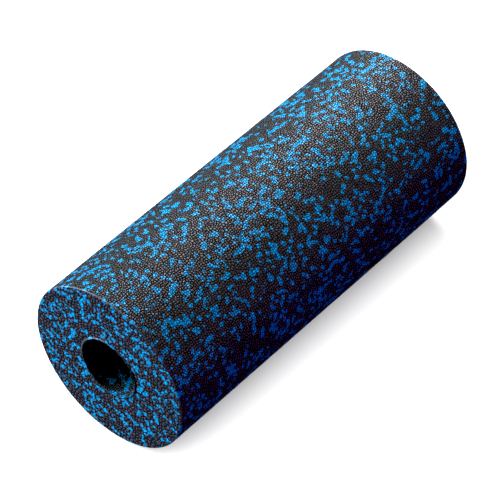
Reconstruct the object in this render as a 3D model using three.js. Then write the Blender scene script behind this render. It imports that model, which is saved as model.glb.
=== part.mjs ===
// A short massage roller: one moulding of expanded-polypropylene bead foam, a thick-walled tube with
// flat annular ends, a straight bore from end to end and softly rounded rims.
//
// Units are millimetres and +Z is up. The roller lies on its side along X, and the origin is on the
// floor under its middle.

import * as THREE from "three";

// Driving dimensions.
const LENGTH = 330; // end face to end face
const DIAMETER = 140; // over the tread
const BORE_DIAMETER = 50; // the hand hole through the middle
const OUTER_RIM_RADIUS = 2.5; // rounding where the tread meets an end face
const BORE_RIM_RADIUS = 1.8; // rounding where the bore meets an end face

// Facets. A multiple of four puts a flat at the bottom, the top and both sides.
const SIDES = 96;
const OUTER_RIM_STEPS = 4;
const BORE_RIM_STEPS = 3;

const FOAM_COLOUR = 0x1d2b3c; // black beads with about one blue bead in four
const FOAM_ROUGHNESS = 0.62;

// Sweeps a quarter turn of the profile about (centreRadius, centreHeight), ends included.
function roundedCorner(centreRadius, centreHeight, radius, startAngle, steps) {
  return Array.from({ length: steps + 1 }, (_, step) => {
    const angle = startAngle + (step / steps) * (Math.PI / 2);
    return new THREE.Vector2(
      centreRadius + radius * Math.cos(angle),
      centreHeight + radius * Math.sin(angle),
    );
  });
}

// The wall's section as one closed loop, its x the distance from the axis and its y the place along it.
// It runs up the tread, in over the top end, down the bore and out over the bottom end.
function wallSection(outerRadius, boreRadius) {
  const end = LENGTH / 2;
  const treadCorner = outerRadius - OUTER_RIM_RADIUS;
  const boreCorner = boreRadius + BORE_RIM_RADIUS;
  const treadEnd = end - OUTER_RIM_RADIUS;
  const boreEnd = end - BORE_RIM_RADIUS;
  const quarter = Math.PI / 2;
  const section = [
    ...roundedCorner(treadCorner, -treadEnd, OUTER_RIM_RADIUS, -quarter, OUTER_RIM_STEPS),
    ...roundedCorner(treadCorner, treadEnd, OUTER_RIM_RADIUS, 0, OUTER_RIM_STEPS),
    ...roundedCorner(boreCorner, boreEnd, BORE_RIM_RADIUS, quarter, BORE_RIM_STEPS),
    ...roundedCorner(boreCorner, -boreEnd, BORE_RIM_RADIUS, 2 * quarter, BORE_RIM_STEPS),
  ];
  section.push(section[0].clone());
  return section;
}

// The moulding. The facets stand outside the true circles, so that the flats, and with them the
// roller's height and width, are at the true diameter.
function rollerBody() {
  const facetGrowth = 1 / Math.cos(Math.PI / SIDES);
  const section = wallSection(
    (DIAMETER / 2) * facetGrowth,
    (BORE_DIAMETER / 2) * facetGrowth,
  );
  const halfFacet = Math.PI / SIDES;
  const geometry = new THREE.LatheGeometry(section, SIDES, halfFacet);
  const material = new THREE.MeshStandardMaterial({
    color: FOAM_COLOUR,
    roughness: FOAM_ROUGHNESS,
    metalness: 0,
  });
  const body = new THREE.Mesh(geometry, material);
  body.name = "roller_body";
  body.rotation.z = -Math.PI / 2; // the lathe's Y axis becomes the roller's X axis
  body.position.z = DIAMETER / 2;
  return body;
}

const roller = new THREE.Group();
roller.add(rollerBody());

export default roller;
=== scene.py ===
# The looks of a short foam roller: black and blue polypropylene beads, steam-welded into one thick tube.
# Everything is in metres in the frame's own axes. The roller lies along X with its underside at z = 0.

import math

import bmesh
import bpy
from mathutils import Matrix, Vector

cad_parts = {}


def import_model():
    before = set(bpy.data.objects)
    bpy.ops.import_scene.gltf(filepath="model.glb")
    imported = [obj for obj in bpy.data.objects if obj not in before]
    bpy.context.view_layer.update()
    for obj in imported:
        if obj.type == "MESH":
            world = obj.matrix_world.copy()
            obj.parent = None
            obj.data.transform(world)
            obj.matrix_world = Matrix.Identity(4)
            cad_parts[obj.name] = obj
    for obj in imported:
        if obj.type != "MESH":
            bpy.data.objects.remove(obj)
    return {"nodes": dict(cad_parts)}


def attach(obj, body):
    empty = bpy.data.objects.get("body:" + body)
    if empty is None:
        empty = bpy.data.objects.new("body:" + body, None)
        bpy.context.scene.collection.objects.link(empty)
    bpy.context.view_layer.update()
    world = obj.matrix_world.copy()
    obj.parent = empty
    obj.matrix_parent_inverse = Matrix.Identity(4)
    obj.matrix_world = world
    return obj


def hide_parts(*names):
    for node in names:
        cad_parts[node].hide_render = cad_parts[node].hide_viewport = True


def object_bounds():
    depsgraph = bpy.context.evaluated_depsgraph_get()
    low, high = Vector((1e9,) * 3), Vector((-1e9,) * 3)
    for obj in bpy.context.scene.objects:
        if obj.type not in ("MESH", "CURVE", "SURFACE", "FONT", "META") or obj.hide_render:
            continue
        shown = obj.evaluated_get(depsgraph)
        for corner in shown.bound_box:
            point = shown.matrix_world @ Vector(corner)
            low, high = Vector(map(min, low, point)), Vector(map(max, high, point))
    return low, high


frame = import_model()
cad_low, cad_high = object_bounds()

# Sizes from the frame.
length = cad_high.x - cad_low.x
radius = (cad_high.z - cad_low.z) / 2
centre = (cad_low + cad_high) / 2
bore_radius = min(
    math.hypot(v.co.y - centre.y, v.co.z - centre.z) for v in frame["nodes"]["roller_body"].data.vertices
)

# The moulding.
OUTER_RIM = 0.0014  # rounding where the tread meets an end face
BORE_RIM = 0.0004  # and where the lip meets the bore
LIP = 0.0006  # height and rounding of the lip round the bore, whose foot the end face slopes down to
RIM_STEPS = 4  # in a quarter turn of a rounding
SEGMENTS = 288  # round the axis
ROW = 0.00155  # between rows of vertices where the surface shows
BORE_ROW = 0.006  # and inside the bore

# The beads. What is said to be in beads or in pebbles is in widths of one.
BEAD = 0.0031  # width of a bead
BEAD_WARP = 0.0012  # how far the outline of a bead wanders, from side to side
BEAD_WARP_WIDTH = 0.0013  # width of the lumps that push it about
BLUE_SHARE = 0.235  # of the beads
BEAD_RELIEF = 0.00004  # depth of the dips between beads
DIP_WIDTH = 0.35  # how far in from its edge a bead dips, in beads
SAG = 0.0001  # depth of the broad unevenness of a steam-moulded skin
SAG_WIDTH = 0.025
SAG_NOISE = 0.35, 0.7  # the levels of the noise at which the sag starts and is full

BLACK_TONES = (0.034, 0.035, 0.037, 1), (0.047, 0.048, 0.050, 1)  # the darkest black bead and the palest
BLUE_TONES = (0.006, 0.228, 0.44, 1), (0.009, 0.272, 0.52, 1)  # and the same for the blue ones
END_PAINTED_LIGHT = (1.5, 1.36, 1.66, 1)  # painted light: how many times lighter black is on the end faces, by channel, for the light that falls on them
SEAM_TONE = 0.75  # how dark the painted shade in the seams between beads is on the tread, 1 for no darker
END_SEAM_TONE = 0.45  # and on the end faces
SEAM_WIDTH = 0.1  # how far in from its edge a bead is darkened with painted shade, in beads

# The pebbled skin over them.
PEBBLE = 0.0020  # width of a pebble on the tread
END_PEBBLE = 0.0030  # and on the end faces
PEBBLE_HEIGHT = 0.00017
END_PEBBLE_HEIGHT = 0.0004
PEBBLE_EDGE = 0.5  # how far in from its edge a pebble's flank reaches, in pebbles
PEBBLE_ORDER = 0.2  # 0 for pebbles strewn at random, 1 for straight rows
BEND = 1.5  # how far the rows of pebbles wander, from side to side, in pebbles
BEND_WIDTH = 6.0
WRINKLE = 0.4  # and how far the outline of one does
WRINKLE_WIDTH = 1.25
CREASE_TOP = 0.8  # where the crease beside a pebble, which gets painted shade, ends, as a share of the pebble's height
BLACK_CREASE = 0.1  # how dark the painted shade in the creases is on a black bead, 1 for no darker
BLUE_CREASE = 0.2  # and on a blue one
END_BLACK_CREASE = 0.15  # the same two on the end faces
END_BLUE_CREASE = 0.7
GLOSS = 0.14  # specular level on top of a pebble, which falls to none in a crease as painted shade
GLOSS_TINT = (0.88, 0.76, 0.92, 1)  # of the gloss seen face on
ROUGHNESS = 0.31, 0.38  # on top of a pebble, for the smoothest bead and the roughest
CREASE_ROUGHNESS = 0.8

# How squarely a surface faces along the axis, from 0 on the tread to 1 on an end face.
END_FACING = 0.7  # where the end face's skin takes over
RIM_START = 0.2, 0.45  # where a rounding turns smooth, from its first sign to the full
RIM_STOP = 0.8, 0.95  # and where the pebbles of the end face begin

# The camera, fitted so that the roller lies in the picture as it does in the reference.
VIEW_AZIMUTH = -49.571  # in degrees
VIEW_ELEVATION = 45.593
VIEW_DISTANCE = 2.08275
VIEW_AIM = Vector((-0.00665, 0.00202, -0.00367))  # from the roller's centre
LENS = 201.71  # in millimetres

# The studio.
LIGHT_DISTANCE = 1.6  # from the roller's centre
SOFTBOX = 0.45  # width of a softbox
WIDE_SOFTBOX = 1.2  # and of a wide one
CEILING = 5.5  # width of the light panel over the floor
WHITE = (1, 1, 1)
COOL = (0.68, 0.79, 1)
VIOLET = (0.55, 0.29, 1)
FLOOR_REACH = 40  # from the middle of the floor to its sides
FLOOR_COLOUR = (0.9, 0.9, 0.9, 1)
FLOOR_ROUGHNESS = 0.9
BLACK_POINT = 0.004, 0.004, 0.008  # linear light that the picture shows as black, by channel


def node(tree, kind, inputs=None, **settings):
    """Adds a node, makes its settings, and gives its inputs a value or a link each."""
    made = tree.nodes.new(kind)
    for name, value in settings.items():
        setattr(made, name, value)
    for name, value in (inputs or {}).items():
        if isinstance(value, bpy.types.NodeSocket):
            tree.links.new(value, made.inputs[name])
        else:
            made.inputs[name].default_value = value
    return made


def maths(tree, operation, first, second=0.0):
    made = node(tree, "ShaderNodeMath", {0: first, 1: second}, operation=operation)
    return made.outputs[0]


def ramp(tree, value, start, end, low=0.0, high=1.0):
    """A smooth rise from low at start to high at end."""
    inputs = {"Value": value, "From Min": start, "From Max": end, "To Min": low, "To Max": high}
    return node(tree, "ShaderNodeMapRange", inputs, interpolation_type="SMOOTHSTEP").outputs["Result"]


def warped(tree, position, width, reach):
    """The position, pushed about by up to half of reach by lumps of the given width."""
    noise = node(tree, "ShaderNodeTexNoise", {"Vector": position, "Scale": 1 / width, "Detail": 1.0})
    push = node(
        tree,
        "ShaderNodeVectorMath",
        {0: noise.outputs["Color"], 1: (0.5, 0.5, 0.5)},
        operation="SUBTRACT",
    )
    made = node(
        tree,
        "ShaderNodeVectorMath",
        {0: push.outputs[0], 1: (reach, reach, reach), 2: position},
        operation="MULTIPLY_ADD",
    )
    return made.outputs[0]


def beads(tree, position):
    """The cells of the welded beads: a random colour for each, and the distance to its edge in widths.
    The relief of the mesh and the material both call this, so their beads are the same ones."""
    place = warped(tree, position, BEAD_WARP_WIDTH, BEAD_WARP)
    inputs = {"Vector": place, "Scale": 1 / BEAD}
    colour = node(tree, "ShaderNodeTexVoronoi", inputs).outputs["Color"]
    edge = node(tree, "ShaderNodeTexVoronoi", inputs, feature="DISTANCE_TO_EDGE").outputs["Distance"]
    return colour, edge


# The mesh.


def arc(centre_x, centre_r, size, start):
    """A quarter turn of the section from the angle start, ends included."""
    for step in range(RIM_STEPS + 1):
        angle = start + math.pi / 2 * step / RIM_STEPS
        yield centre_x + size * math.sin(angle), centre_r + size * math.cos(angle)


def between(first, last, spacing):
    """The points strictly between two points of the section."""
    steps = max(1, round(math.dist(first, last) / spacing))
    for step in range(1, steps):
        share = step / steps
        yield tuple(a + (b - a) * share for a, b in zip(first, last))


def wall_section():
    """The wall's section as one closed loop of (x, distance from the axis), tread first."""
    end = length / 2
    foot = end - LIP
    lip_r = bore_radius + BORE_RIM
    rims = [
        list(arc(end - OUTER_RIM, radius - OUTER_RIM, OUTER_RIM, 0)),
        list(arc(foot, lip_r, LIP, 0))
        + list(arc(end - BORE_RIM, lip_r, BORE_RIM, math.pi / 2))[1:],
        list(arc(BORE_RIM - end, lip_r, BORE_RIM, math.pi))
        + list(arc(-foot, lip_r, LIP, 3 * math.pi / 2))[1:],
        list(arc(OUTER_RIM - end, radius - OUTER_RIM, OUTER_RIM, 3 * math.pi / 2)),
    ]
    spacings = [ROW, BORE_ROW, ROW, ROW]
    section = []
    for index, rim in enumerate(rims):
        following = rims[(index + 1) % len(rims)]
        section += rim + list(between(rim[-1], following[0], spacings[index]))
    return section


def revolved(name, section):
    """A closed mesh that turns the section once round the roller's axis."""
    mesh = bpy.data.meshes.new(name)
    made = bmesh.new()
    rings = []
    for turn in range(SEGMENTS):
        angle = 2 * math.pi * turn / SEGMENTS
        y, z = math.cos(angle), math.sin(angle)
        rings.append([made.verts.new((x, centre.y + r * y, centre.z + r * z)) for x, r in section])
    for turn, ring in enumerate(rings):
        following = rings[(turn + 1) % SEGMENTS]
        for row in range(len(section)):
            after = (row + 1) % len(section)
            made.faces.new((ring[row], ring[after], following[after], following[row]))
    bmesh.ops.recalc_face_normals(made, faces=made.faces)
    for face in made.faces:
        face.smooth = True
    made.to_mesh(mesh)
    made.free()
    return mesh


def relief_group():
    """Geometry nodes that dip the surface between the beads and let it sag a little here and there."""
    tree = bpy.data.node_groups.new("bead_relief", "GeometryNodeTree")
    tree.interface.new_socket("Geometry", in_out="INPUT", socket_type="NodeSocketGeometry")
    tree.interface.new_socket("Geometry", in_out="OUTPUT", socket_type="NodeSocketGeometry")
    start = node(tree, "NodeGroupInput")
    position = node(tree, "GeometryNodeInputPosition").outputs[0]
    normal = node(tree, "GeometryNodeInputNormal").outputs["Normal"]
    edge = beads(tree, position)[1]
    dip = ramp(tree, edge, 0.0, DIP_WIDTH, -BEAD_RELIEF, 0.0)
    lumps = node(tree, "ShaderNodeTexNoise", {"Vector": position, "Scale": 1 / SAG_WIDTH, "Detail": 1.0})
    sag = ramp(tree, lumps.outputs[0], *SAG_NOISE, 0.0, -SAG)
    offset = node(
        tree,
        "ShaderNodeVectorMath",
        {0: normal, "Scale": maths(tree, "ADD", dip, sag)},
        operation="SCALE",
    )
    moved = node(
        tree,
        "GeometryNodeSetPosition",
        {"Geometry": start.outputs[0], "Offset": offset.outputs[0]},
    )
    node(tree, "NodeGroupOutput", {0: moved.outputs[0]})
    return tree


def roller_foam():
    """The whole moulding, with the relief of its beads worked into the mesh."""
    piece = bpy.data.objects.new("roller_foam", revolved("roller_foam", wall_section()))
    bpy.context.scene.collection.objects.link(piece)
    modifier = piece.modifiers.new("relief", "NODES")
    modifier.node_group = relief_group()
    evaluated = piece.evaluated_get(bpy.context.evaluated_depsgraph_get())
    finished = bpy.data.meshes.new_from_object(evaluated)
    piece.modifiers.remove(modifier)
    piece.data = finished
    piece.data.materials.append(foam_material())
    return piece


# The material.


def mixed(tree, share, first, second, blend="MIX"):
    inputs = {"Factor": share, 6: first, 7: second}
    return node(tree, "ShaderNodeMix", inputs, data_type="RGBA", blend_type=blend).outputs[2]


def by_face(tree, on_end, wall_value, end_value):
    """The first value on the tread and in the bore, and the second on the end faces."""
    return ramp(tree, on_end, 0.0, 1.0, wall_value, end_value)


def skin_place(tree, position, on_end):
    """Where a point lies on the flattened skin, in pebbles: along and round the tread or the bore, or
    across and up an end face."""
    along, across, up = node(tree, "ShaderNodeSeparateXYZ", {0: position}).outputs
    across = maths(tree, "SUBTRACT", across, centre.y)
    up = maths(tree, "SUBTRACT", up, centre.z)
    squares = maths(tree, "POWER", across, 2), maths(tree, "POWER", up, 2)
    from_axis = maths(tree, "SQRT", maths(tree, "ADD", *squares))
    turn = maths(tree, "MULTIPLY", maths(tree, "ARCTAN2", across, up), from_axis)
    wall = node(tree, "ShaderNodeCombineXYZ", {0: along, 1: turn}).outputs[0]
    end = node(tree, "ShaderNodeCombineXYZ", {0: across, 1: up}).outputs[0]
    inputs = {"Factor": on_end, 4: wall, 5: end}
    place = node(tree, "ShaderNodeMix", inputs, data_type="VECTOR").outputs[1]
    share = maths(tree, "DIVIDE", 1.0, by_face(tree, on_end, PEBBLE, END_PEBBLE))
    return node(tree, "ShaderNodeVectorMath", {0: place, "Scale": share}, operation="SCALE").outputs[0]


def pebbles(tree, place):
    """The height of the pebbled skin, from 0 in a crease to 1 on top of a pebble."""
    inputs = {
        "Vector": warped(tree, warped(tree, place, BEND_WIDTH, BEND), WRINKLE_WIDTH, WRINKLE),
        "Scale": 1.0,
        "Randomness": 1 - PEBBLE_ORDER,
    }
    settings = {"feature": "DISTANCE_TO_EDGE", "voronoi_dimensions": "2D"}
    edge = node(tree, "ShaderNodeTexVoronoi", inputs, **settings).outputs["Distance"]
    return ramp(tree, edge, 0.0, PEBBLE_EDGE)


def rim_share(tree, facing):
    """1 on the roundings between the tread or the bore and an end face, and 0 on the faces themselves."""
    rise = ramp(tree, facing, *RIM_START)
    fall = ramp(tree, facing, *RIM_STOP, 1.0, 0.0)
    return maths(tree, "MULTIPLY", rise, fall)


def bead_tone(tree, random, blue, on_end):
    """The colour of each bead's foam, picked by the bead's own random numbers, and lighter black on the
    end faces as painted light.
    """
    black_tone = mixed(tree, random[1], *BLACK_TONES)
    end_painted_light = mixed(tree, on_end, (1, 1, 1, 1), END_PAINTED_LIGHT)
    black_tone = mixed(tree, 1.0, black_tone, end_painted_light, blend="MULTIPLY")
    blue_tone = mixed(tree, random[2], *BLUE_TONES)
    return mixed(tree, blue, black_tone, blue_tone)


def hollow_shade(tree, edge, crease, blue, on_end):
    """The share of its colour that the foam keeps: all on top, and less in the seams and creases, as
    painted shade.
    """
    seam_low = by_face(tree, on_end, SEAM_TONE, END_SEAM_TONE)
    seam = ramp(tree, edge, 0.0, SEAM_WIDTH, seam_low, 1.0)
    black_crease = by_face(tree, on_end, BLACK_CREASE, END_BLACK_CREASE)
    blue_crease = by_face(tree, on_end, BLUE_CREASE, END_BLUE_CREASE)
    crease_low = ramp(tree, blue, 0.0, 1.0, black_crease, blue_crease)
    return maths(tree, "MULTIPLY", ramp(tree, crease, 0.0, 1.0, crease_low, 1.0), seam)


def foam_material():
    material = bpy.data.materials.new("bead_foam")
    material.use_nodes = True
    tree = material.node_tree
    tree.nodes.clear()
    coordinates = node(tree, "ShaderNodeTexCoord").outputs
    position = coordinates["Object"]
    along = node(tree, "ShaderNodeSeparateXYZ", {0: coordinates["Normal"]}).outputs[0]
    facing = maths(tree, "ABSOLUTE", along)
    on_end = maths(tree, "GREATER_THAN", facing, END_FACING)
    rim = rim_share(tree, facing)
    colour, edge = beads(tree, position)
    random = node(tree, "ShaderNodeSeparateColor", {0: colour}).outputs  # three numbers for each bead
    blue = maths(tree, "LESS_THAN", random[0], BLUE_SHARE)
    height = maths(tree, "MAXIMUM", pebbles(tree, skin_place(tree, position, on_end)), rim)
    # painted shade darkens the colour and the gloss in the creases, where the foam is also rougher
    crease = ramp(tree, height, 0.0, CREASE_TOP)
    tone = bead_tone(tree, random, blue, on_end)
    shade = hollow_shade(tree, edge, crease, blue, on_end)
    relief = maths(tree, "MULTIPLY", height, by_face(tree, on_end, PEBBLE_HEIGHT, END_PEBBLE_HEIGHT))
    bump = node(tree, "ShaderNodeBump", {"Height": relief, "Distance": 1.0, "Strength": 1.0})
    top_roughness = ramp(tree, random[1], 0.0, 1.0, *ROUGHNESS)
    surface = node(
        tree,
        "ShaderNodeBsdfPrincipled",
        {
            "Base Color": mixed(tree, 1.0, tone, shade, blend="MULTIPLY"),
            "Roughness": ramp(tree, crease, 0.0, 1.0, CREASE_ROUGHNESS, top_roughness),
            "Specular IOR Level": maths(tree, "MULTIPLY", crease, GLOSS),
            "Specular Tint": GLOSS_TINT,
            "Normal": bump.outputs[0],
        },
    )
    node(tree, "ShaderNodeOutputMaterial", {"Surface": surface.outputs[0]})
    return material


def floor_material():
    material = bpy.data.materials.new("studio_floor")
    material.use_nodes = True
    surface = material.node_tree.nodes["Principled BSDF"]
    surface.inputs["Base Color"].default_value = FLOOR_COLOUR
    surface.inputs["Roughness"].default_value = FLOOR_ROUGHNESS
    surface.inputs["Specular IOR Level"].default_value = 0.0
    return material


def studio_floor():
    """A white floor for the roller's shadow. It sends no light back on to the roller."""
    mesh = bpy.data.meshes.new("studio_floor")
    made = bmesh.new()
    bmesh.ops.create_grid(made, x_segments=1, y_segments=1, size=FLOOR_REACH)
    made.to_mesh(mesh)
    made.free()
    floor = bpy.data.objects.new("studio_floor", mesh)
    bpy.context.scene.collection.objects.link(floor)
    floor.location.z = cad_low.z
    floor.data.materials.append(floor_material())
    floor.visible_diffuse = False
    floor.visible_glossy = False
    return floor


# The studio.


def direction(azimuth, elevation):
    """The unit vector from the roller towards a camera or light there. Azimuth 0 is on the -Y side."""
    a, e = math.radians(azimuth), math.radians(elevation)
    return Vector((math.sin(a) * math.cos(e), -math.cos(a) * math.cos(e), math.sin(e)))


def lit_only(light, piece):
    """Lets the light reach that piece and nothing else."""
    receivers = bpy.data.collections.new(light.name + "_receivers")
    receivers.objects.link(piece)
    light.light_linking.receiver_collection = receivers


def softbox(name, azimuth, elevation, size, power, colour, piece):
    """A square light, aimed at the roller's centre, that lights only the piece."""
    data = bpy.data.lights.new(name, "AREA")
    data.shape = "SQUARE"
    data.size = size
    data.energy = power
    data.color = colour
    light = bpy.data.objects.new(name, data)
    bpy.context.scene.collection.objects.link(light)
    towards = direction(azimuth, elevation)
    light.location = centre + towards * LIGHT_DISTANCE
    light.rotation_mode = "QUATERNION"
    light.rotation_quaternion = towards.to_track_quat("Z", "Y")
    lit_only(light, piece)
    return light


def lights(roller, floor):
    """The studio's lights, each with its azimuth and elevation in degrees, width, and power in watts."""
    softbox("left_light", -145, 15, WIDE_SOFTBOX, 138, COOL, roller)
    softbox("right_light", 115, 12, SOFTBOX, 26, WHITE, roller)
    softbox("back_light", 122, 30, WIDE_SOFTBOX, 28, WHITE, roller)
    softbox("top_light", 109, 54, SOFTBOX, 54, WHITE, roller)
    softbox("shade_light", 0, 8, SOFTBOX, 20, VIOLET, roller)
    softbox("floor_light", -102, 57, CEILING, 403, WHITE, floor)


def world():
    """A white surround that only the camera sees."""
    made = bpy.data.worlds.new("studio")
    made.use_nodes = True
    background = made.node_tree.nodes["Background"]
    background.inputs["Color"].default_value = (1, 1, 1, 1)
    background.inputs["Strength"].default_value = 1.0
    made.cycles_visibility.diffuse = False
    made.cycles_visibility.glossy = False
    bpy.context.scene.world = made


def camera():
    """The scene's camera, aimed at a point close to the roller's centre."""
    data = bpy.data.cameras.new("camera")
    data.lens = LENS
    made = bpy.data.objects.new("camera", data)
    bpy.context.scene.collection.objects.link(made)
    back = direction(VIEW_AZIMUTH, VIEW_ELEVATION)
    made.location = centre + VIEW_AIM + back * VIEW_DISTANCE
    made.rotation_mode = "QUATERNION"
    made.rotation_quaternion = back.to_track_quat("Z", "Y")
    bpy.context.scene.camera = made


def tone_response():
    """A plain display with its blacks set a little above zero light, as in a studio print."""
    settings = bpy.context.scene.view_settings
    settings.view_transform = "Standard"
    settings.use_curve_mapping = True
    settings.curve_mapping.black_level = BLACK_POINT
    settings.curve_mapping.update()


roller = roller_foam()
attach(roller, "roller")
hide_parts("roller_body")
floor = studio_floor()
lights(roller, floor)
world()
camera()
tone_response()
